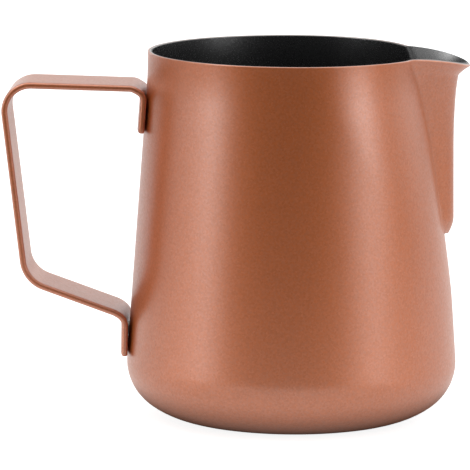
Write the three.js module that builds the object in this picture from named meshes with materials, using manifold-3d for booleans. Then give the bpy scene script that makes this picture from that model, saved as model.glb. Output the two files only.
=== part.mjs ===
// A milk frothing jug: a drawn steel shell with a pressed pouring spout, a black non-stick lining,
// and a bent strap handle that is spot-welded to the wall by a tab at each end.
//
// Millimetres, +Z up. The origin is the centre of the base, on the surface that the jug stands on.
// The spout points along +X and the handle reaches out along -X.

import * as THREE from 'three';
import { mergeVertices } from 'three/addons/utils/BufferGeometryUtils.js';
import Module from 'manifold-3d';

// ---- driving dimensions ----

// Jug body, measured on the outside of the sheet.
const BODY_RADIUS = 40;         // widest, just above the base corner
const JUG_HEIGHT = 89.4;
const WALL_LEAN = radians(4);   // the wall narrows upwards as a cone
const SHEET = 0.8;              // steel thickness

// Base corner: a large arc that rises from the flat base, then a tighter one up to the wall.
const LARGE_CORNER_RADIUS = 20;
const SMALL_CORNER_RADIUS = 12.3;
const CORNER_JOIN_ANGLE = radians(-54);

// Neck: the last part of the wall straightens and ends slightly flared.
const NECK_HEIGHT = 10;
const NECK_FLARE = 0.22;        // slope at the rim, outwards, as a share of the wall's lean

// Lining: a coat a little inside the sheet.
const LINING_GAP = 0.05;
const LINING_THICKNESS = 0.2;

// Spout, pressed outwards from the wall between its toe and the rim.
const TOE_HEIGHT = 45.2;        // where the spout starts
const TOE_LENGTH = 4.2;         // height over which it rises to its full depth
const TOE_DEPTH = 1.34;         // nose ahead of the wall just above the toe
const NOSE_GROWTH = 2.57;       // what the nose gains from the toe to the rim
const THROAT_HEIGHT = 66;       // above this the nose gains more
const THROAT_GROWTH = 1.5;
const NOSE_POWER = 1.5;         // the higher, the more pointed the spout is in plan
const NOSE_POWER_GAIN = 0.4;    // what the power gains from the toe to the rim
const TOE_HALF_ANGLE = radians(8.5);
const RIM_HALF_ANGLE = radians(30);
const WIDENING_POWER = 2.4;     // the higher, the later the spout widens on its way up
const TOE_ROUNDNESS = 0.53;     // the lower, the blunter the toe is from the front

// The press draws the wall in beside the spout and just below its toe.
const PINCH_START = 28;
const PINCH_DEPTH = 4;          // at the rim, in the spout's plane
const PINCH_EASE = 0.1;         // how gently it sets in, as a share of its height
const PINCH_START_ANGLE = radians(25);
const PINCH_END_ANGLE = radians(85);

// Pouring lip at the top of the nose.
const LIP_HEIGHT = 3.9;
const LIP_REACH = 2.1;
const LIP_SHARPNESS = 1.2;

// The rim dips towards the lip.
const DIP_DEPTH = 3.3;
const DIP_START = -5;           // distance from the jug's axis
const DIP_POWER = 6;
const DIP_HEIGHT = 20;

// Handle: a flat strip, bent at four corners. The points are its centre line in the XZ plane,
// from the lower end of the upper tab round to the lower end of the lower tab.
const STRAP_WIDTH = 19;
const STRAP_THICKNESS = 1.5;
const STRAP_EDGE_ROUND = 0.4;
const STRAP_LINE = [
  [-36.87, 70.05],
  [-36.12, 80.8],
  [-70.1, 81.6],
  [-64.25, 34.05],
  [-40.6, 25.6],
  [-40.72, 15.7],
];
const STRAP_BEND_RADII = [3, 6.3, 7.5, 3.6];

// Spot welds: two on each tab, in line with the jug's axis.
const WELD_RADIUS = 1.6;
const WELD_DEPTH_IN_TAB = 0.8;
const WELD_CLEARANCE = 0.05;
const WELD_HEIGHTS = {
  upper_spot_weld_top: 76,
  upper_spot_weld_bottom: 72,
  lower_spot_weld_top: 21.2,
  lower_spot_weld_bottom: 17.6,
};

// Facets.
const PROBE_STEP = 0.01;        // how far apart two points are when they give the surface's slope
const CORNER_STEPS = 8;
const SPOUT_STEPS = 13;
const COLUMNS = 60;
const COLUMN_BUNCHING = 0.45;   // draws the columns together at the spout
const BEND_STEPS = 8;
const WELD_SIDES = 24;

// ---- small helpers ----

function radians(degrees) {
  return degrees * Math.PI / 180;
}

function clamp01(value) {
  return Math.min(1, Math.max(0, value));
}

function smoothStep(value) {
  const t = clamp01(value);
  return t * t * (3 - 2 * t);
}

// ---- the jug's outer skin ----

// Arc centres of the base corner, from the widest point inwards.
const SMALL_ARC = { radius: SMALL_CORNER_RADIUS, r: BODY_RADIUS - SMALL_CORNER_RADIUS };
const ARC_STEP = LARGE_CORNER_RADIUS - SMALL_CORNER_RADIUS;
const LARGE_ARC = {
  radius: LARGE_CORNER_RADIUS,
  r: SMALL_ARC.r - ARC_STEP * Math.cos(CORNER_JOIN_ANGLE),
  z: LARGE_CORNER_RADIUS,
};
SMALL_ARC.z = LARGE_ARC.z + ARC_STEP * Math.sin(CORNER_JOIN_ANGLE);

// The cone starts where the small arc has turned to the wall's lean.
const CONE_START = {
  r: SMALL_ARC.r + SMALL_ARC.radius * Math.cos(WALL_LEAN),
  z: SMALL_ARC.z + SMALL_ARC.radius * Math.sin(WALL_LEAN),
};

function wallRadius(z) {
  const inNeck = clamp01((z - (JUG_HEIGHT - NECK_HEIGHT)) / NECK_HEIGHT);
  const neck = (1 + NECK_FLARE) * NECK_HEIGHT * inNeck * inNeck / 2;
  return CONE_START.r - Math.tan(WALL_LEAN) * (z - CONE_START.z - neck);
}

// How far the press has drawn the wall in, at an angle from the spout's plane.
function pinchAt(turn, z) {
  const rise = clamp01((z - PINCH_START) / (JUG_HEIGHT - PINCH_START));
  const eased = (Math.hypot(rise, PINCH_EASE) - PINCH_EASE) / (Math.hypot(1, PINCH_EASE) - PINCH_EASE);
  const end = PINCH_START_ANGLE + (PINCH_END_ANGLE - PINCH_START_ANGLE) * rise;
  return PINCH_DEPTH * eased * (1 - smoothStep(turn / end));
}

// How far the press moves the wall outwards at an angle from the spout's plane.
function spoutOffset(angle, z) {
  const turn = Math.abs(angle);
  const pinch = pinchAt(turn, z);
  const rise = clamp01((z - TOE_HEIGHT) / (JUG_HEIGHT - TOE_HEIGHT));
  const toe = 1 - (1 - clamp01((z - TOE_HEIGHT) / TOE_LENGTH)) ** 2;
  const spread = TOE_HALF_ANGLE + (RIM_HALF_ANGLE - TOE_HALF_ANGLE) * rise ** WIDENING_POWER;
  const halfAngle = spread * toe ** TOE_ROUNDNESS;
  if (turn >= halfAngle) return -pinch;
  const throat = clamp01((z - THROAT_HEIGHT) / (JUG_HEIGHT - THROAT_HEIGHT)) ** 2;
  const nose = (TOE_DEPTH + NOSE_GROWTH * rise + THROAT_GROWTH * throat) * toe;
  const lip = LIP_REACH * clamp01((z - JUG_HEIGHT + LIP_HEIGHT) / LIP_HEIGHT);
  const dome = 1 - (turn / halfAngle) ** 2;
  const crown = dome ** (NOSE_POWER + NOSE_POWER_GAIN * rise);
  return -pinch + (nose + pinch) * crown + lip * dome ** LIP_SHARPNESS;
}

const LIP_TIP = wallRadius(JUG_HEIGHT) + spoutOffset(0, JUG_HEIGHT);

function rimDip(x, z) {
  const along = Math.max(0, (x - DIP_START) / (LIP_TIP - DIP_START));
  const up = clamp01((z - JUG_HEIGHT + DIP_HEIGHT) / DIP_HEIGHT);
  return DIP_DEPTH * along ** DIP_POWER * up ** 2;
}

// A point of the wall after pressing.
function wallPoint(angle, z) {
  const r = wallRadius(z) + spoutOffset(angle, z);
  const x = r * Math.cos(angle);
  return new THREE.Vector3(x, r * Math.sin(angle), z - rimDip(x, z));
}

// The same point, moved into the sheet by depth, square to the surface.
function wallPointInside(angle, z, depth) {
  const aside = PROBE_STEP / BODY_RADIUS;
  const across = wallPoint(angle + aside, z).sub(wallPoint(angle - aside, z));
  const along = wallPoint(angle, z).sub(wallPoint(angle, z - PROBE_STEP));
  const normal = across.cross(along).normalize();
  return wallPoint(angle, z).addScaledVector(normal, -depth);
}

// A point of the base corner: turn is the arc's angle, from -90 degrees on the flat base.
function cornerPointInside(angle, turn, depth) {
  const arc = turn < CORNER_JOIN_ANGLE ? LARGE_ARC : SMALL_ARC;
  const r = arc.r + (arc.radius - depth) * Math.cos(turn);
  const z = arc.z + (arc.radius - depth) * Math.sin(turn);
  return new THREE.Vector3(r * Math.cos(angle), r * Math.sin(angle), z);
}

// The rings that a skin is built on, from the centre of the base up to the rim. Each one is a
// function that gives the ring's point at an angle and a depth in the sheet.
function skinRings() {
  const rings = [(angle, depth) => new THREE.Vector3(0, 0, depth)];
  const cornerStart = -Math.PI / 2;
  for (let step = 0; step < CORNER_STEPS; step++) {
    const turn = cornerStart + (WALL_LEAN - cornerStart) * step / CORNER_STEPS;
    rings.push((angle, depth) => cornerPointInside(angle, turn, depth));
  }
  const belowToe = (PINCH_START + TOE_HEIGHT) / 2;
  const heights = [CONE_START.z, PINCH_START, belowToe];
  for (let step = 0; step <= SPOUT_STEPS; step++) {
    const eased = (1 - Math.cos(Math.PI * step / SPOUT_STEPS)) / 2;
    heights.push(TOE_HEIGHT + (JUG_HEIGHT - TOE_HEIGHT) * eased);
  }
  for (const z of heights) rings.push((angle, depth) => wallPointInside(angle, z, depth));
  return rings;
}

// Splits every quad of a lathe whose row is firstRow or later along its other diagonal.
function turnDiagonals(index, rowCount, firstRow) {
  const quadCount = index.count / 6;
  for (let quad = 0; quad < quadCount; quad++) {
    const row = quad % (rowCount - 1);
    if (row < firstRow) continue;
    const corner = Math.floor(quad / (rowCount - 1)) * rowCount + row;
    const across = corner + rowCount;
    [corner, across, across + 1, across + 1, corner + 1, corner].forEach((vertex, place) => {
      index.setX(quad * 6 + place, vertex);
    });
  }
}

// A closed shell between two depths in the sheet: up the outer skin, over the rim, down the inner
// skin. It is a lathe whose vertices are then moved to the pressed shape. The inner skin runs
// downwards, so its diagonals are turned: its facets then match those of a skin laid against it.
function shellGeometry(outerDepth, innerDepth) {
  const rings = skinRings();
  const outward = rings.map((ring) => ({ ring, depth: outerDepth }));
  const inward = rings.map((ring) => ({ ring, depth: innerDepth })).reverse();
  const path = [...outward, ...inward];
  const profile = path.map(({ ring, depth }) => {
    const point = ring(Math.PI, depth);
    return new THREE.Vector2(Math.abs(point.x), point.z);
  });
  const geometry = new THREE.LatheGeometry(profile, COLUMNS);
  const position = geometry.getAttribute('position');
  for (let column = 0; column <= COLUMNS; column++) {
    const even = -Math.PI + 2 * Math.PI * (column % COLUMNS) / COLUMNS;
    const angle = even - COLUMN_BUNCHING * Math.sin(even);
    path.forEach(({ ring, depth }, row) => {
      const point = ring(angle, depth);
      position.setXYZ(column * path.length + row, point.x, point.y, point.z);
    });
  }
  turnDiagonals(geometry.index, path.length, rings.length);
  return geometry;
}

// ---- the handle ----

// The strap's outline in the XZ plane: its centre line, moved half a thickness to each side, with an
// arc at each bend.
function strapOutline() {
  const points = STRAP_LINE.map(([x, z]) => new THREE.Vector2(x, z));
  const left = [];
  const right = [];
  const half = STRAP_THICKNESS / 2;
  const addPair = (centre, heading) => {
    const side = new THREE.Vector2(-heading.y, heading.x).multiplyScalar(half);
    left.push(centre.clone().add(side));
    right.push(centre.clone().sub(side));
  };
  points.forEach((point, index) => {
    const before = index > 0 ? point.clone().sub(points[index - 1]).normalize() : null;
    const after = index < points.length - 1 ? points[index + 1].clone().sub(point).normalize() : null;
    if (!before || !after) {
      addPair(point, before || after);
      return;
    }
    const radius = STRAP_BEND_RADII[index - 1];
    const turn = Math.atan2(before.cross(after), before.dot(after));
    const setback = radius * Math.tan(Math.abs(turn) / 2);
    const start = point.clone().addScaledVector(before, -setback);
    const toCentre = new THREE.Vector2(-before.y, before.x).multiplyScalar(Math.sign(turn) * radius);
    const centre = start.clone().add(toCentre);
    for (let step = 0; step <= BEND_STEPS; step++) {
      const swing = turn * step / BEND_STEPS;
      const onArc = start.clone().rotateAround(centre, swing);
      addPair(onArc, before.clone().rotateAround(new THREE.Vector2(), swing));
    }
  });
  return new THREE.Shape([...left, ...right.reverse()]);
}

function strapGeometry() {
  const geometry = new THREE.ExtrudeGeometry(strapOutline(), {
    depth: STRAP_WIDTH - 2 * STRAP_EDGE_ROUND,
    bevelEnabled: true,
    bevelThickness: STRAP_EDGE_ROUND,
    bevelSize: STRAP_EDGE_ROUND,
    bevelOffset: -STRAP_EDGE_ROUND,
    bevelSegments: 2,
  });
  // Stand the outline up in the XZ plane and centre the width on the jug's axis.
  geometry.rotateX(Math.PI / 2);
  geometry.translate(0, STRAP_WIDTH / 2 - STRAP_EDGE_ROUND, 0);
  return geometry;
}

// ---- spot welds ----

// Each weld is a short disc that lies across the seam between a tab and the wall, square to the
// wall: it is let into the tab and stops just short of the wall.
function gapBehindTab(height) {
  const isUpper = height > JUG_HEIGHT / 2;
  const [top, bottom] = isUpper ? [STRAP_LINE[1], STRAP_LINE[0]] : [STRAP_LINE[4], STRAP_LINE[5]];
  const share = (top[1] - height) / (top[1] - bottom[1]);
  const tabFace = top[0] + (bottom[0] - top[0]) * share + STRAP_THICKNESS / 2;
  return -wallRadius(height) - tabFace;
}

function weldGeometry(height, radius, wallClearance, depthInTab) {
  const far = gapBehindTab(height) + depthInTab;
  const geometry = new THREE.CylinderGeometry(radius, radius, far - wallClearance, WELD_SIDES);
  const fromWall = (far + wallClearance) / 2;
  geometry.rotateZ(Math.PI / 2);
  geometry.translate(-fromWall, 0, 0);
  geometry.rotateY(WALL_LEAN);
  geometry.translate(-wallRadius(height), 0, height);
  return geometry;
}

// ---- booleans ----

const wasm = await Module();
wasm.setup();

function toSolid(geometry) {
  const bare = geometry.clone();
  bare.deleteAttribute('normal');
  bare.deleteAttribute('uv');
  const merged = mergeVertices(bare, 1e-4);
  return new wasm.Manifold(new wasm.Mesh({
    numProp: 3,
    vertProperties: new Float32Array(merged.getAttribute('position').array),
    triVerts: new Uint32Array(merged.index.array),
  }));
}

function toGeometry(solid) {
  const mesh = solid.getMesh();
  const geometry = new THREE.BufferGeometry();
  geometry.setAttribute('position', new THREE.BufferAttribute(mesh.vertProperties, 3));
  geometry.setIndex(new THREE.BufferAttribute(mesh.triVerts, 1));
  geometry.computeVertexNormals();
  return geometry;
}

// The strap with a shallow pocket in its tabs for each weld.
function strapWithWeldPockets() {
  let strap = toSolid(strapGeometry());
  for (const height of Object.values(WELD_HEIGHTS)) {
    const radius = WELD_RADIUS + WELD_CLEARANCE;
    const pocket = weldGeometry(height, radius, 0, WELD_DEPTH_IN_TAB + WELD_CLEARANCE);
    strap = strap.subtract(toSolid(pocket));
  }
  return toGeometry(strap);
}

// ---- materials ----

function copperCoat() {
  return new THREE.MeshStandardMaterial({ color: 0xb0674b, roughness: 0.42, metalness: 0.85 });
}

function blackNonstick() {
  return new THREE.MeshStandardMaterial({ color: 0x1b1b1d, roughness: 0.5, metalness: 0.1 });
}

function weldSteel() {
  return new THREE.MeshStandardMaterial({ color: 0x9a9894, roughness: 0.5, metalness: 0.9 });
}

// ---- assembly ----

function namedMesh(name, geometry, material) {
  const mesh = new THREE.Mesh(geometry, material);
  mesh.name = name;
  return mesh;
}

const jug = new THREE.Group();
const liningDepth = SHEET + LINING_GAP;

jug.add(namedMesh('jug_body', shellGeometry(0, SHEET), copperCoat()));
const lining = shellGeometry(liningDepth, liningDepth + LINING_THICKNESS);
jug.add(namedMesh('nonstick_lining', lining, blackNonstick()));
jug.add(namedMesh('handle_strap', strapWithWeldPockets(), copperCoat()));

for (const [name, height] of Object.entries(WELD_HEIGHTS)) {
  const weld = weldGeometry(height, WELD_RADIUS, WELD_CLEARANCE, WELD_DEPTH_IN_TAB);
  jug.add(namedMesh(name, weld, weldSteel()));
}

export default jug;
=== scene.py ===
import math

import bpy
import numpy as np
from mathutils import Matrix, Vector


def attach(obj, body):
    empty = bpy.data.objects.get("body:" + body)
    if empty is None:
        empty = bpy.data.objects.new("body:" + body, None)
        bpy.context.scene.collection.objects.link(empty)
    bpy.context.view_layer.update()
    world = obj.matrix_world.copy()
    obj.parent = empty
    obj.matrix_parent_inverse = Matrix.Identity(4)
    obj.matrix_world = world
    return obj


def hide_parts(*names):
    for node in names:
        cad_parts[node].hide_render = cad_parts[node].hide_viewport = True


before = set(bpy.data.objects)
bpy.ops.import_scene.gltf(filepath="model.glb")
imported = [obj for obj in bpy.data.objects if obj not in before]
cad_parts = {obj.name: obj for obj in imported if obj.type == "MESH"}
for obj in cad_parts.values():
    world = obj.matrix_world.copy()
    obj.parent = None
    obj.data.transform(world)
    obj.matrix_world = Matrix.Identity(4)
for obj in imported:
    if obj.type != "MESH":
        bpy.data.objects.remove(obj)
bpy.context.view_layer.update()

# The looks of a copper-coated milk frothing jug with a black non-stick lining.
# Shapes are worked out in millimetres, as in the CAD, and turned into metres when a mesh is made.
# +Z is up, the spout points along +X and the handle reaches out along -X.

MM = 0.001

# ---- driving dimensions of the jug, as in the CAD ----

BODY_RADIUS = 40
JUG_HEIGHT = 89.4
WALL_LEAN = math.radians(4)
SHEET = 0.8
LARGE_CORNER_RADIUS = 20
SMALL_CORNER_RADIUS = 12.3
CORNER_JOIN_ANGLE = math.radians(-54)
NECK_HEIGHT = 10
NECK_FLARE = 0.22
LINING_GAP = 0.05
LINING_THICKNESS = 0.2

TOE_HEIGHT = 45.2
TOE_LENGTH = 4.2
TOE_DEPTH = 1.34
NOSE_GROWTH = 2.57
THROAT_HEIGHT = 66
THROAT_GROWTH = 1.5
NOSE_POWER = 1.5
NOSE_POWER_GAIN = 0.4
TOE_HALF_ANGLE = math.radians(8.5)
RIM_HALF_ANGLE = math.radians(30)
WIDENING_POWER = 2.4
TOE_ROUNDNESS = 0.53
PINCH_START = 28
PINCH_DEPTH = 4
PINCH_EASE = 0.1
PINCH_START_ANGLE = math.radians(25)
PINCH_END_ANGLE = math.radians(85)
LIP_HEIGHT = 3.9
LIP_REACH = 2.1
LIP_SHARPNESS = 1.2
DIP_DEPTH = 3.3
DIP_START = -5
DIP_POWER = 6
DIP_HEIGHT = 20

STRAP_WIDTH = 19
STRAP_THICKNESS = 1.5
STRAP_LINE = [              # its centre line's corners (x, z), from the upper tab's end to the lower's
    (-36.87, 70.05),
    (-36.12, 80.8),
    (-70.1, 81.6),
    (-64.25, 34.05),
    (-40.6, 25.6),
    (-40.72, 15.7),
]
STRAP_BEND_RADII = [3, 6.3, 7.5, 3.6]

# ---- detail that the CAD leaves coarse ----

RIM_ROUND = 0.2             # the cut edge of the sheet is eased
LINING_TOP = 0.2            # the lining's edge starts to round this far below the rim
LINING_ROUND = 0.08
STRAP_EDGE_ROUND = 0.65
STRAP_END_ROUND = 0.5
END_STEPS = 7
END_WEAR = 0.3
NARROW_FACE_WEAR = 0.4
WIDE_FACE_WEAR = 0.25       # beside the edge
WIDE_FACE_WEAR_LOSS = 0.2   # from one row of points to the next, further in
RIM_WEAR_DEPTH = 0.5
STAND_WEAR_WIDTH = 2.5      # the ring that the jug stands on, which is rubbed
STAND_WEAR_OFFSET = 1.5
STAND_WEAR_HEIGHT = 0.5
TAB_SIDE = -50              # what lies nearer to the wall than this is a tab, where it stands upright
TAB_SLOPES = (0.5, 1)       # how upright the strap is where a tab starts to curl, and where it is whole
TAB_CURVE = 0.5             # how far the tabs follow the wall's curve; 1 would be all the way

# ---- how finely the meshes are made ----

COLUMNS = 320               # around the jug
COLUMN_BUNCHING = 0.45      # how much closer the columns stand at the spout
BASE_RING_SHARES = (0.2, 0.5, 0.8)
CORNER_ROWS = 26
LOWER_WALL_ROWS = 16
SPOUT_ROWS = 76
ROUND_STEPS = 5             # around each corner of the sheet's edge
PROBE_STEP = 0.01           # how far apart the points are that give the wall's normal
STRAP_STEP = 1.2            # the longest stretch between two rings of the strap
STRAP_BEND_STEPS = 20
STRAP_EDGE_STEPS = 6        # around each corner of the strap's section
STRAP_WIDE_STEPS = 14
STRAP_NARROW_STEPS = 2
SMALLEST_EDGE_ROUND = 0.05


# ---- small helpers ----

def clamp01(value):
    return np.clip(value, 0.0, 1.0)


def smooth_step(value):
    t = clamp01(value)
    return t * t * (3 - 2 * t)


# ---- the jug's skin ----

small_arc_r = BODY_RADIUS - SMALL_CORNER_RADIUS
arc_step = LARGE_CORNER_RADIUS - SMALL_CORNER_RADIUS
large_arc_r = small_arc_r - arc_step * math.cos(CORNER_JOIN_ANGLE)
large_arc_z = LARGE_CORNER_RADIUS
small_arc_z = large_arc_z + arc_step * math.sin(CORNER_JOIN_ANGLE)
cone_start_r = small_arc_r + SMALL_CORNER_RADIUS * math.cos(WALL_LEAN)
cone_start_z = small_arc_z + SMALL_CORNER_RADIUS * math.sin(WALL_LEAN)


def wall_radius(z):
    """The plain wall's radius: a cone that leans in, and a neck that turns back out below the rim."""
    in_neck = clamp01((z - (JUG_HEIGHT - NECK_HEIGHT)) / NECK_HEIGHT)
    neck = (1 + NECK_FLARE) * NECK_HEIGHT * in_neck ** 2 / 2
    return cone_start_r - math.tan(WALL_LEAN) * (z - cone_start_z - neck)


def pinch_at(turn, z):
    """How far the press has drawn the wall in, at an angle from the spout's plane."""
    rise = clamp01((z - PINCH_START) / (JUG_HEIGHT - PINCH_START))
    eased = (np.hypot(rise, PINCH_EASE) - PINCH_EASE) / (math.hypot(1, PINCH_EASE) - PINCH_EASE)
    end = PINCH_START_ANGLE + (PINCH_END_ANGLE - PINCH_START_ANGLE) * rise
    return PINCH_DEPTH * eased * (1 - smooth_step(turn / end))


def spout_offset(angle, z):
    """How far the press moves the wall outwards at an angle from the spout's plane."""
    turn = np.abs(angle)
    pinch = pinch_at(turn, z)
    rise = clamp01((z - TOE_HEIGHT) / (JUG_HEIGHT - TOE_HEIGHT))
    toe = 1 - (1 - clamp01((z - TOE_HEIGHT) / TOE_LENGTH)) ** 2
    spread = TOE_HALF_ANGLE + (RIM_HALF_ANGLE - TOE_HALF_ANGLE) * rise ** WIDENING_POWER
    half_angle = spread * toe ** TOE_ROUNDNESS
    throat = clamp01((z - THROAT_HEIGHT) / (JUG_HEIGHT - THROAT_HEIGHT)) ** 2
    nose = (TOE_DEPTH + NOSE_GROWTH * rise + THROAT_GROWTH * throat) * toe
    lip = LIP_REACH * clamp01((z - JUG_HEIGHT + LIP_HEIGHT) / LIP_HEIGHT)
    on_nose = turn < half_angle
    dome = np.where(on_nose, 1 - (turn / np.where(on_nose, half_angle, 1)) ** 2, 0)
    crown = dome ** (NOSE_POWER + NOSE_POWER_GAIN * rise)
    return -pinch + (nose + pinch) * crown + lip * dome ** LIP_SHARPNESS


LIP_TIP = float(wall_radius(JUG_HEIGHT) + spout_offset(np.array(0.0), JUG_HEIGHT))


def rim_dip(x, z):
    """How far the trimmed rim, and the wall close below it, drops towards the spout."""
    along = np.maximum(0, (x - DIP_START) / (LIP_TIP - DIP_START))
    up = clamp01((z - JUG_HEIGHT + DIP_HEIGHT) / DIP_HEIGHT)
    return DIP_DEPTH * along ** DIP_POWER * up ** 2


def wall_point(angle, z):
    """The outer skin's point at an angle around the jug, for a height before the rim dips."""
    r = wall_radius(z) + spout_offset(angle, z)
    x = r * np.cos(angle)
    return np.stack([x, r * np.sin(angle), z - rim_dip(x, z)], axis=-1)


def wall_frame(angle, z):
    """The wall's point, outward normal and upward tangent."""
    aside = PROBE_STEP / BODY_RADIUS
    across = wall_point(angle + aside, z) - wall_point(angle - aside, z)
    point = wall_point(angle, z)
    along = point - wall_point(angle, z - PROBE_STEP)
    normal = np.cross(across, along)
    normal /= np.linalg.norm(normal, axis=-1, keepdims=True)
    along /= np.linalg.norm(along, axis=-1, keepdims=True)
    return point, normal, along


def wall_ring(angle, z, depth):
    point, normal, _ = wall_frame(angle, np.full_like(angle, z))
    return point - depth * normal


def corner_ring(angle, turn, depth):
    """A ring of the base's corner, where turn is the angle of the wall's normal above level."""
    large = turn < CORNER_JOIN_ANGLE
    radius = (LARGE_CORNER_RADIUS if large else SMALL_CORNER_RADIUS) - depth
    r = (large_arc_r if large else small_arc_r) + radius * math.cos(turn)
    z = (large_arc_z if large else small_arc_z) + radius * math.sin(turn)
    return np.stack([r * np.cos(angle), r * np.sin(angle), np.full_like(angle, z)], axis=-1)


def base_ring(angle, r, depth):
    return np.stack([r * np.cos(angle), r * np.sin(angle), np.full_like(angle, depth)], axis=-1)


def rim_rings(angle, z, depths, radius):
    """The sheet's edge from the outer skin to the inner one, with a quarter round at each corner."""
    point, normal, along = wall_frame(angle, np.full_like(angle, z))
    rings = []
    for corner, centre_depth in enumerate((depths[0] + radius, depths[1] - radius)):
        centre = point - centre_depth * normal
        for step in range(ROUND_STEPS + 1):
            a = math.pi / 2 * (corner + step / ROUND_STEPS)
            if 0 < a < math.pi:
                rings.append(centre + radius * (math.cos(a) * normal + math.sin(a) * along))
    return rings


def column_angles():
    """Angles around the jug, closer together at the spout."""
    even = -math.pi + 2 * math.pi * np.arange(COLUMNS) / COLUMNS
    return even - COLUMN_BUNCHING * np.sin(even)


def skin_rings(angle, depth, top):
    """Rings from the flat base up to the height top, at a depth in the sheet."""
    rings = [base_ring(angle, large_arc_r * share, depth) for share in BASE_RING_SHARES]
    for step in range(CORNER_ROWS):
        turn = -math.pi / 2 + (WALL_LEAN + math.pi / 2) * step / CORNER_ROWS
        rings.append(corner_ring(angle, turn, depth))
    for z in np.linspace(cone_start_z, TOE_HEIGHT, LOWER_WALL_ROWS, endpoint=False):
        rings.append(wall_ring(angle, z, depth))
    for step in range(SPOUT_ROWS + 1):
        eased = (1 - math.cos(math.pi * step / SPOUT_ROWS)) / 2
        rings.append(wall_ring(angle, TOE_HEIGHT + (top - TOE_HEIGHT) * eased, depth))
    return rings


def make_object(name, points, faces, wear, material, bare=None):
    """A smooth-shaded mesh from points in millimetres.

    wear is 1 where a point is rubbed, and bare is 1 where it has no coat.
    """
    mesh = bpy.data.meshes.new(name)
    mesh.from_pydata((np.asarray(points) * MM).tolist(), [], faces)
    mesh.validate()
    mesh.update()
    mesh.shade_smooth()
    for layer_name, values in (("wear", wear), ("bare", bare)):
        if values is not None:
            layer = mesh.attributes.new(layer_name, "FLOAT", "POINT")
            layer.data.foreach_set("value", np.asarray(values, dtype=np.float32))
    mesh.materials.append(material)
    piece = bpy.data.objects.new(name, mesh)
    bpy.context.scene.collection.objects.link(piece)
    return piece


def closed_rings(rings, first_pole, last_pole):
    """Points and faces of rings joined one to the next, closed by a fan at each end."""
    count = len(rings[0])
    points = np.concatenate([[first_pole], *rings, [last_pole]])
    faces = []
    for row in range(len(rings) - 1):
        low = 1 + row * count
        for column in range(count):
            beside = (column + 1) % count
            faces.append((low + column, low + beside, low + count + beside, low + count + column))
    last = 1 + (len(rings) - 1) * count
    for column in range(count):
        beside = (column + 1) % count
        faces.append((0, 1 + beside, 1 + column))
        faces.append((last + column, last + beside, len(points) - 1))
    return points, faces


def make_shell(name, depths, top, edge_round, material, wear_at):
    """A shell between two depths in the sheet, whose edge rounds off above the height top.

    The inner half of its edge, where a coat sprayed from outside doesn't reach, is marked as bare.
    """
    angle = column_angles()
    rings = skin_rings(angle, depths[0], top)
    edge = rim_rings(angle, top, depths, edge_round)
    first_bare = 1 + (len(rings) + len(edge) // 2) * COLUMNS
    last_bare = 1 + (len(rings) + len(edge) + 1) * COLUMNS
    rings += edge
    rings += reversed(skin_rings(angle, depths[1], top))
    poles = (0, 0, depths[0]), (0, 0, depths[1])
    points, faces = closed_rings(rings, *poles)
    bare = np.zeros(len(points))
    bare[first_bare:last_bare] = 1
    return make_object(name, points, faces, wear_at(points), material, bare)


# ---- the handle strap ----

def strap_centre_line():
    """Points and headings along the strap's centre line in the XZ plane: its ends and its bends."""
    corners = [np.array(p, dtype=float) for p in STRAP_LINE]
    stops = [(corners[0], (corners[1] - corners[0]) / np.linalg.norm(corners[1] - corners[0]))]
    for index in range(1, len(corners) - 1):
        before = corners[index] - corners[index - 1]
        before /= np.linalg.norm(before)
        after = corners[index + 1] - corners[index]
        after /= np.linalg.norm(after)
        cross = before[0] * after[1] - before[1] * after[0]
        turn = math.atan2(cross, float(before @ after))
        radius = STRAP_BEND_RADII[index - 1]
        start = corners[index] - before * radius * math.tan(abs(turn) / 2)
        side = np.array([-before[1], before[0]]) * math.copysign(radius, turn)
        centre = start + side
        for step in range(STRAP_BEND_STEPS + 1):
            swing = turn * step / STRAP_BEND_STEPS
            c, s = math.cos(swing), math.sin(swing)
            rotate = np.array([[c, -s], [s, c]])
            stops.append((centre + rotate @ (start - centre), rotate @ before))
    stops.append((corners[-1], (corners[-1] - corners[-2]) / np.linalg.norm(corners[-1] - corners[-2])))
    return stops


def fill_straights(stops, longest):
    """The same line with points added, so that no stretch is longer than the longest one allowed."""
    filled = [stops[0]]
    for (p, h), (q, k) in zip(stops, stops[1:]):
        gap = float(np.linalg.norm(q - p))
        pieces = max(1, math.ceil(gap / longest))
        for step in range(1, pieces + 1):
            share = step / pieces
            heading = h * (1 - share) + k * share
            filled.append((p + (q - p) * share, heading / np.linalg.norm(heading)))
    return filled


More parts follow.
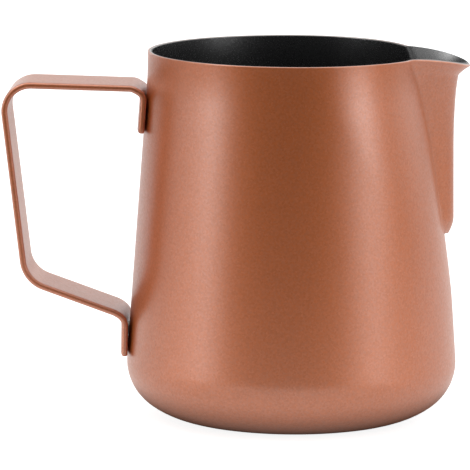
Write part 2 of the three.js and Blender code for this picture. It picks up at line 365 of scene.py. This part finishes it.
def strap_section(inset):
    """The strap's section: pairs (across the width, through the thickness), and how rubbed each is."""
    half_width = STRAP_WIDTH / 2 - inset
    half_depth = STRAP_THICKNESS / 2 - inset
    radius = max(SMALLEST_EDGE_ROUND, STRAP_EDGE_ROUND - inset)
    outline = []
    wear = []
    corner_signs = [(1, 1), (-1, 1), (-1, -1), (1, -1)]
    for number, (sy, sn) in enumerate(corner_signs):
        cy, cn = sy * (half_width - radius), sn * (half_depth - radius)
        for step in range(STRAP_EDGE_STEPS + 1):
            a = math.pi / 2 * (number + step / STRAP_EDGE_STEPS)
            outline.append((cy + radius * math.cos(a), cn + radius * math.sin(a)))
            bend = math.sin(math.pi * step / STRAP_EDGE_STEPS)
            wear.append(bend * (1 - NARROW_FACE_WEAR) + NARROW_FACE_WEAR)
        ny, nn = corner_signs[(number + 1) % 4]
        end = (ny * (half_width - radius), nn * (half_depth - radius))
        edge = math.pi / 2 * (number + 1)
        start = (cy + radius * math.cos(edge), cn + radius * math.sin(edge))
        stop = (end[0] + radius * math.cos(edge), end[1] + radius * math.sin(edge))
        wide_face = number % 2 == 0
        divisions = STRAP_WIDE_STEPS if wide_face else STRAP_NARROW_STEPS
        for step in range(1, divisions):
            share = step / divisions
            outline.append((start[0] + (stop[0] - start[0]) * share,
                            start[1] + (stop[1] - start[1]) * share))
            steps_in = min(share, 1 - share) * divisions
            rubbed = max(0.0, WIDE_FACE_WEAR - WIDE_FACE_WEAR_LOSS * (steps_in - 1))
            wear.append(rubbed if wide_face else NARROW_FACE_WEAR)
    return outline, wear


def make_strap(name, material):
    stops = fill_straights(strap_centre_line(), STRAP_STEP)
    rings = []
    wear = []

    def add_ring(point, heading, inset):
        side = np.array([-heading[1], heading[0]])
        outline, rubbed = strap_section(inset)
        upright = smooth_step((abs(heading[1]) - TAB_SLOPES[0]) / (TAB_SLOPES[1] - TAB_SLOPES[0]))
        curl = 0
        if point[0] > TAB_SIDE:
            curl = upright * TAB_CURVE / (2 * float(wall_radius(point[1])))
        rings.append([(point[0] + side[0] * n + curl * y ** 2, y, point[1] + side[1] * n)
                      for y, n in outline])
        wear.extend(rubbed)

    def end_rings(point, inwards, heading):
        """Rings of a rounded end, from its face inwards."""
        for step in range(END_STEPS):
            a = math.pi / 2 * step / END_STEPS
            along = STRAP_END_ROUND * (1 - math.cos(a))
            yield point + inwards * along, heading, STRAP_END_ROUND * (1 - math.sin(a))

    (first, first_heading), (last, last_heading) = stops[0], stops[-1]
    for ring in end_rings(first, first_heading, first_heading):
        add_ring(*ring)
    for point, heading in stops:
        if min(np.linalg.norm(point - first), np.linalg.norm(last - point)) >= STRAP_END_ROUND:
            add_ring(point, heading, 0)
    for ring in reversed(list(end_rings(last, -last_heading, last_heading))):
        add_ring(*ring)
    rings = [np.array(r) for r in rings]
    points, faces = closed_rings(rings, rings[0].mean(axis=0), rings[-1].mean(axis=0))
    return make_object(name, points, faces, [END_WEAR, *wear, END_WEAR], material)


# ---- node helpers ----

# The patterns use coordinates in metres, so scales are counts to the metre and bump distances metres.

class Nodes:
    """Short calls for making shader nodes."""

    def __init__(self, tree):
        self.tree = tree
        tree.nodes.clear()

    def add(self, kind, **settings):
        node = self.tree.nodes.new(kind)
        for key, value in settings.items():
            setattr(node, key, value)
        return node

    def put(self, socket, value):
        if isinstance(value, bpy.types.NodeSocket):
            self.tree.links.new(value, socket)
        else:
            socket.default_value = value

    def math(self, operation, a, b=None, c=None):
        node = self.add("ShaderNodeMath", operation=operation)
        for socket, value in zip(node.inputs, (a, b, c)):
            if value is not None:
                self.put(socket, value)
        return node.outputs[0]

    def ramp(self, value, low, high, to_low=0.0, to_high=1.0):
        """A smooth step from to_low to to_high as value goes from low to high."""
        node = self.add("ShaderNodeMapRange", interpolation_type="SMOOTHSTEP")
        for key, item in (("Value", value), ("From Min", low), ("From Max", high),
                          ("To Min", to_low), ("To Max", to_high)):
            self.put(node.inputs[key], item)
        return node.outputs["Result"]

    def noise(self, vector, scale, detail=2.0):
        node = self.add("ShaderNodeTexNoise")
        self.put(node.inputs["Vector"], vector)
        self.put(node.inputs["Scale"], scale)
        self.put(node.inputs["Detail"], detail)
        return node.outputs["Fac"]

    def cells(self, vector, scale):
        """Two random values from 0 to 1 for each cell of a Voronoi pattern."""
        pattern = self.add("ShaderNodeTexVoronoi")
        self.put(pattern.inputs["Vector"], vector)
        self.put(pattern.inputs["Scale"], scale)
        parts = self.add("ShaderNodeSeparateColor")
        self.put(parts.inputs[0], pattern.outputs["Color"])
        return parts.outputs[0], parts.outputs[1]

    def attribute(self, name):
        return self.add("ShaderNodeAttribute", attribute_name=name).outputs["Fac"]

    def around(self, value, middle, spread):
        """A value from 0 to 1 turned into one as far as half the spread to each side of the middle."""
        return self.math("MULTIPLY_ADD", value, spread, middle - spread / 2)

    def mix(self, factor, a, b):
        node = self.add("ShaderNodeMix", data_type="RGBA")
        self.put(node.inputs["Factor"], factor)
        self.put(node.inputs["A"], a)
        self.put(node.inputs["B"], b)
        return node.outputs["Result"]

    def bump(self, height, distance, strength):
        node = self.add("ShaderNodeBump")
        self.put(node.inputs["Height"], height)
        self.put(node.inputs["Distance"], distance)
        self.put(node.inputs["Strength"], strength)
        return node.outputs["Normal"]


def new_material(name):
    """A material with a Principled shader, and the object's own coordinates for its patterns."""
    material = bpy.data.materials.new(name)
    material.use_nodes = True
    nodes = Nodes(material.node_tree)
    shader = nodes.add("ShaderNodeBsdfPrincipled")
    output = nodes.add("ShaderNodeOutputMaterial")
    nodes.tree.links.new(shader.outputs[0], output.inputs["Surface"])
    place = nodes.add("ShaderNodeTexCoord").outputs["Object"]
    return material, nodes, shader, place


# ---- the copper-coloured metallic coat ----

COPPER = (0.468, 0.1185, 0.022)
RUBBED_COPPER = (0.62, 0.27, 0.17, 1)
BARE_STEEL = (0.25, 0.235, 0.225, 1)
RUBBED_SHARE = 0.35         # how far a rubbed edge goes towards the rubbed colour
RUBBED_RANGE = (0.45, 1.1)
RUBBED_SMOOTHING = 0.1
BARE_SHARE = 0.95           # how far the bare rim goes from the coat's colour towards the steel's
FLAKE_SCALE = 2300.0
FLAKE_CONTRAST = 0.15
GLINT_CONTRAST = 0.25       # how unevenly the clear coat shines over the flakes
GRAIN_SCALE = 2600.0
GRAIN_BUMP = (0.00004, 0.7)     # distance and strength
CLOUD_SCALE = 55.0
CLOUD_CONTRAST = 0.06
PEEL_SCALE = 700.0
PEEL_BUMP = (0.00002, 0.4)
COPPER_ROUGHNESS = 0.6
COPPER_ROUGHNESS_SPREAD = 0.1
COAT_ROUGHNESS = 0.3
COAT_IOR = 2.055


def copper_material():
    """Metallic flakes under a clear coat, lighter where it is rubbed, and bare on the rim's inner half."""
    material, nodes, shader, place = new_material("copper_coat")
    grain = nodes.noise(place, GRAIN_SCALE, 3.0)
    cloud = nodes.noise(place, CLOUD_SCALE, 3.0)
    flake_tone, glint = nodes.cells(place, FLAKE_SCALE)
    tone = nodes.around(flake_tone, 1, FLAKE_CONTRAST)
    tone = nodes.math("MULTIPLY", tone, nodes.around(cloud, 1, CLOUD_CONTRAST))
    base = nodes.add("ShaderNodeVectorMath", operation="SCALE")
    nodes.put(base.inputs[0], COPPER)
    nodes.put(base.inputs["Scale"], tone)
    patchy_wear = nodes.math("MULTIPLY", nodes.attribute("wear"), nodes.math("ADD", grain, 0.5))
    rubbed = nodes.ramp(patchy_wear, *RUBBED_RANGE)
    colour = nodes.mix(nodes.math("MULTIPLY", rubbed, RUBBED_SHARE), base.outputs[0], RUBBED_COPPER)
    bare = nodes.math("MULTIPLY", nodes.attribute("bare"), BARE_SHARE)
    nodes.put(shader.inputs["Base Color"], nodes.mix(bare, colour, BARE_STEEL))
    rough = nodes.around(grain, COPPER_ROUGHNESS, COPPER_ROUGHNESS_SPREAD)
    rough = nodes.math("SUBTRACT", rough, nodes.math("MULTIPLY", rubbed, RUBBED_SMOOTHING))
    nodes.put(shader.inputs["Roughness"], rough)
    shader.inputs["Metallic"].default_value = 1.0
    shine = nodes.math("MULTIPLY_ADD", glint, -GLINT_CONTRAST, 1.0)
    nodes.put(shader.inputs["Coat Weight"], shine)
    shader.inputs["Coat Roughness"].default_value = COAT_ROUGHNESS
    shader.inputs["Coat IOR"].default_value = COAT_IOR
    nodes.put(shader.inputs["Normal"], nodes.bump(grain, *GRAIN_BUMP))
    peel = nodes.noise(place, PEEL_SCALE)
    nodes.put(shader.inputs["Coat Normal"], nodes.bump(peel, *PEEL_BUMP))
    return material


# ---- the black non-stick coat ----

LINING_DARK = (0.010, 0.0102, 0.0106, 1)
LINING_LIGHT = (0.015, 0.0152, 0.0156, 1)
LINING_FLECK = (0.024, 0.024, 0.025, 1)
LINING_GRAIN_SCALE = 3000.0
LINING_CLOUD_SCALE = 80.0
FLECK_SCALE = 4200.0
FLECK_RANGE = (0.96, 0.99)      # only the cells with the highest random values are flecks
LINING_ROUGHNESS = 0.26
LINING_ROUGHNESS_SPREAD = 0.12
LINING_SPECULAR = 1.0
LINING_BUMP = (0.00004, 0.6)


def lining_material():
    material, nodes, shader, place = new_material("black_nonstick")
    grain = nodes.noise(place, LINING_GRAIN_SCALE, 3.0)
    cloud = nodes.noise(place, LINING_CLOUD_SCALE, 3.0)
    colour = nodes.mix(cloud, LINING_DARK, LINING_LIGHT)
    fleck_value, _ = nodes.cells(place, FLECK_SCALE)
    flecks = nodes.ramp(fleck_value, *FLECK_RANGE)
    nodes.put(shader.inputs["Base Color"], nodes.mix(flecks, colour, LINING_FLECK))
    rough = nodes.around(grain, LINING_ROUGHNESS, LINING_ROUGHNESS_SPREAD)
    nodes.put(shader.inputs["Roughness"], rough)
    shader.inputs["Specular IOR Level"].default_value = LINING_SPECULAR
    nodes.put(shader.inputs["Normal"], nodes.bump(grain, *LINING_BUMP))
    return material


# ---- the spot welds' bare steel ----

WELD_STEEL = (0.42, 0.41, 0.39, 1)
WELD_HEAT_TINT = (0.30, 0.25, 0.20, 1)
WELD_GRAIN_SCALE = 2500.0
WELD_TINT_SCALE = 400.0
WELD_ROUGHNESS = 0.45
WELD_ROUGHNESS_SPREAD = 0.2
WELD_BUMP = (0.00003, 0.6)


def weld_material():
    material, nodes, shader, place = new_material("weld_steel")
    grain = nodes.noise(place, WELD_GRAIN_SCALE, 3.0)
    tint = nodes.noise(place, WELD_TINT_SCALE)
    nodes.put(shader.inputs["Base Color"], nodes.mix(tint, WELD_STEEL, WELD_HEAT_TINT))
    shader.inputs["Metallic"].default_value = 1.0
    nodes.put(shader.inputs["Roughness"], nodes.around(grain, WELD_ROUGHNESS, WELD_ROUGHNESS_SPREAD))
    nodes.put(shader.inputs["Normal"], nodes.bump(grain, *WELD_BUMP))
    return material


# ---- the floor's look, with its places and distances in metres ----

FLOOR_HALF = 6.0
FLOOR_FILL = 0.88           # keeps the floor near white to the camera
FLOOR_GREYS = (0.41, 0.41, 0.41, 1), (0.43, 0.43, 0.43, 1)
FLOOR_CLOUD_SCALE = 3.0
POOL_CENTRE = (0, 0.43)
POOL_RADIUS = 0.635
POOL_FADE = (1.45, 0.75)    # shares of its radius where the pool starts and where it is full
POOL_LEVEL = 1.03
CONTACT_CENTRE = (0, 0.008)
CONTACT_SHADE = (0.0325, 0.054)     # painted shadow in the glowing pool: dark under the jug up to the first distance, lit from the second


def floor_material():
    """Plain white to the camera. To other rays it glows with a painted pool of light, with a painted shadow
    close to the jug, and the jug reflects it.
    """
    material = bpy.data.materials.new("floor")
    material.use_nodes = True
    nodes = Nodes(material.node_tree)
    place = nodes.add("ShaderNodeTexCoord").outputs["Object"]

    def distance(x, y):
        away = nodes.add("ShaderNodeVectorMath", operation="DISTANCE")
        nodes.put(away.inputs[0], place)
        away.inputs[1].default_value = (x, y, 0)
        return away.outputs["Value"]

    outer, inner = (POOL_RADIUS * share for share in POOL_FADE)
    # painted light: the floor glows in a pool, darkened by a painted shadow close to the jug
    pool = nodes.ramp(distance(*POOL_CENTRE), outer, inner, 0.0, POOL_LEVEL)
    contact = nodes.ramp(distance(*CONTACT_CENTRE), *CONTACT_SHADE)
    glow = nodes.add("ShaderNodeEmission")
    nodes.put(glow.inputs["Strength"], nodes.math("MULTIPLY", pool, contact))
    lit = nodes.add("ShaderNodeBsdfDiffuse")
    nodes.put(lit.inputs["Color"], nodes.mix(nodes.noise(place, FLOOR_CLOUD_SCALE), *FLOOR_GREYS))
    fill = nodes.add("ShaderNodeEmission")
    fill.inputs["Strength"].default_value = FLOOR_FILL
    seen = nodes.add("ShaderNodeAddShader")
    nodes.put(seen.inputs[0], lit.outputs[0])
    nodes.put(seen.inputs[1], fill.outputs[0])
    chosen = nodes.add("ShaderNodeMixShader")
    nodes.put(chosen.inputs[0], nodes.add("ShaderNodeLightPath").outputs["Is Camera Ray"])
    nodes.put(chosen.inputs[1], glow.outputs[0])
    nodes.put(chosen.inputs[2], seen.outputs[0])
    output = nodes.add("ShaderNodeOutputMaterial")
    nodes.put(output.inputs["Surface"], chosen.outputs[0])
    return material


# ---- pieces ----

def below_rim(points):
    """How far each point lies below the rim's top."""
    dip = rim_dip(points[:, 0], np.full(len(points), JUG_HEIGHT))
    return np.maximum(0, JUG_HEIGHT - dip - points[:, 2])


def body_wear(points):
    """The rim's edge and the ring that the jug stands on are rubbed."""
    r = np.hypot(points[:, 0], points[:, 1])
    rim = np.exp(-below_rim(points) / RIM_WEAR_DEPTH)
    stand = np.exp(-(((r - large_arc_r - STAND_WEAR_OFFSET) / STAND_WEAR_WIDTH) ** 2))
    stand *= points[:, 2] < STAND_WEAR_HEIGHT
    return clamp01(rim + stand)


def no_wear(points):
    return np.zeros(len(points))


copper = copper_material()
body = make_shell("jug_body_skin", (0, SHEET), JUG_HEIGHT - RIM_ROUND, RIM_ROUND, copper, body_wear)
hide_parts("jug_body")
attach(body, "root")

lining_depth = SHEET + LINING_GAP
lining = make_shell("lining_skin", (lining_depth, lining_depth + LINING_THICKNESS),
                    JUG_HEIGHT - LINING_TOP, LINING_ROUND, lining_material(), no_wear)
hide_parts("nonstick_lining")
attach(lining, "root")

strap = make_strap("handle_strap_skin", copper)
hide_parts("handle_strap")
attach(strap, "root")

weld_steel = weld_material()
for name in ("upper_spot_weld_top", "upper_spot_weld_bottom",
             "lower_spot_weld_top", "lower_spot_weld_bottom"):
    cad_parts[name].material_slots[0].material = weld_steel

# ---- floor ----

floor_mesh = bpy.data.meshes.new("floor")
corners = [(-FLOOR_HALF, -FLOOR_HALF, 0), (FLOOR_HALF, -FLOOR_HALF, 0),
           (FLOOR_HALF, FLOOR_HALF, 0), (-FLOOR_HALF, FLOOR_HALF, 0)]
floor_mesh.from_pydata(corners, [], [(0, 1, 2, 3)])
floor_mesh.materials.append(floor_material())
floor = bpy.data.objects.new("floor", floor_mesh)
bpy.context.scene.collection.objects.link(floor)

# ---- light: soft boxes to the left and right of the camera, and a pale wall behind ----

# Azimuths are counted from the camera, to the right, and all angles are in degrees.
SOFT_LIGHTS = [
    # azimuth, elevation, width, height, strength
    (-63.5, -8, 10.7, 48, 6.6),     # left strip box
    (-85, -4, 21, 10, 5.2),         # low spill beside it
    (62, -10, 15, 57, 5.9),         # right strip box
    (130, -10, 40, 90, 2.0),        # the pale wall, behind to the right
    (-150, -4, 25, 10, 5.5),        # the pale wall, low behind to the left
    (180, 14, 24, 12, 0.65),        # the pale wall, straight behind
    (-98, 56, 22, 9, 9.0),          # the slanted top of the left strip box
]
DOME_LEVEL = 1.7            # the light from straight above
DOME_RANGE = (29, 78)       # the elevations between which it fades in
ROOM_LEVEL = 0.14           # the light from everywhere else


def make_world():
    """The room's light. The camera sees it as plain white."""
    world = bpy.data.worlds.new("studio")
    world.use_nodes = True
    bpy.context.scene.world = world
    nodes = Nodes(world.node_tree)
    direction = nodes.add("ShaderNodeTexCoord").outputs["Generated"]
    parts = nodes.add("ShaderNodeSeparateXYZ")
    nodes.put(parts.inputs[0], direction)
    x, y, z = parts.outputs
    azimuth = nodes.math("ARCTAN2", x, nodes.math("MULTIPLY", y, -1.0))
    elevation = nodes.math("ARCSINE", z)

    def bell(value, width):
        """A smooth hump that falls to 1/e at a width from its middle."""
        share = nodes.math("DIVIDE", value, math.radians(width))
        return nodes.math("EXPONENT", nodes.math("MULTIPLY", nodes.math("MULTIPLY", share, share), -1.0))

    low, high = (math.radians(a) for a in DOME_RANGE)
    level = nodes.ramp(elevation, low, high, ROOM_LEVEL, DOME_LEVEL)
    for centre, raised, width, height, strength in SOFT_LIGHTS:
        aside = nodes.math("WRAP", nodes.math("SUBTRACT", azimuth, math.radians(centre)), math.pi, -math.pi)
        above = nodes.math("SUBTRACT", elevation, math.radians(raised))
        glow = nodes.math("MULTIPLY", bell(aside, width), bell(above, height))
        level = nodes.math("MULTIPLY_ADD", glow, strength, level)
    light = nodes.add("ShaderNodeBackground")
    nodes.put(light.inputs["Strength"], level)
    seen = nodes.add("ShaderNodeBackground")
    seen.inputs["Color"].default_value = (1, 1, 1, 1)
    chosen = nodes.add("ShaderNodeMixShader")
    nodes.put(chosen.inputs[0], nodes.add("ShaderNodeLightPath").outputs["Is Camera Ray"])
    nodes.put(chosen.inputs[1], light.outputs[0])
    nodes.put(chosen.inputs[2], seen.outputs[0])
    output = nodes.add("ShaderNodeOutputWorld")
    nodes.put(output.inputs["Surface"], chosen.outputs[0])


make_world()
bpy.context.scene.view_settings.view_transform = "Standard"

# ---- camera ----

CAMERA_DISTANCE = 1.15                  # in metres, as the target is
CAMERA_ELEVATION = 0.1517               # this angle and the roll are in radians
CAMERA_YAW = math.radians(1.5)
CAMERA_ROLL = 0.0055
CAMERA_TARGET = (-0.013864, 0.044325)   # the point in the picture's middle: across and up
CAMERA_LENS = 362.86
SENSOR_WIDTH = 36
FAR_CLIP = 100


def make_camera():
    e, r = CAMERA_ELEVATION, CAMERA_ROLL
    across, up_by = CAMERA_TARGET
    place = Vector((across, -CAMERA_DISTANCE * math.cos(e), up_by + CAMERA_DISTANCE * math.sin(e)))
    right = Vector((1, 0, 0))
    up = Vector((0, math.sin(e), math.cos(e)))
    ahead = Vector((0, math.cos(e), -math.sin(e)))
    right, up = (math.cos(r) * right + math.sin(r) * up, math.cos(r) * up - math.sin(r) * right)
    turn = Matrix.Rotation(CAMERA_YAW, 3, "Z")
    axes = [turn @ right, turn @ up, turn @ -ahead]
    pose = Matrix(axes).transposed().to_4x4()
    pose.translation = turn @ place
    data = bpy.data.cameras.new("camera")
    data.lens = CAMERA_LENS
    data.sensor_width = SENSOR_WIDTH
    data.clip_end = FAR_CLIP
    camera = bpy.data.objects.new("camera", data)
    camera.matrix_world = pose
    bpy.context.scene.collection.objects.link(camera)
    bpy.context.scene.camera = camera


make_camera()

bpy.context.view_layer.update()
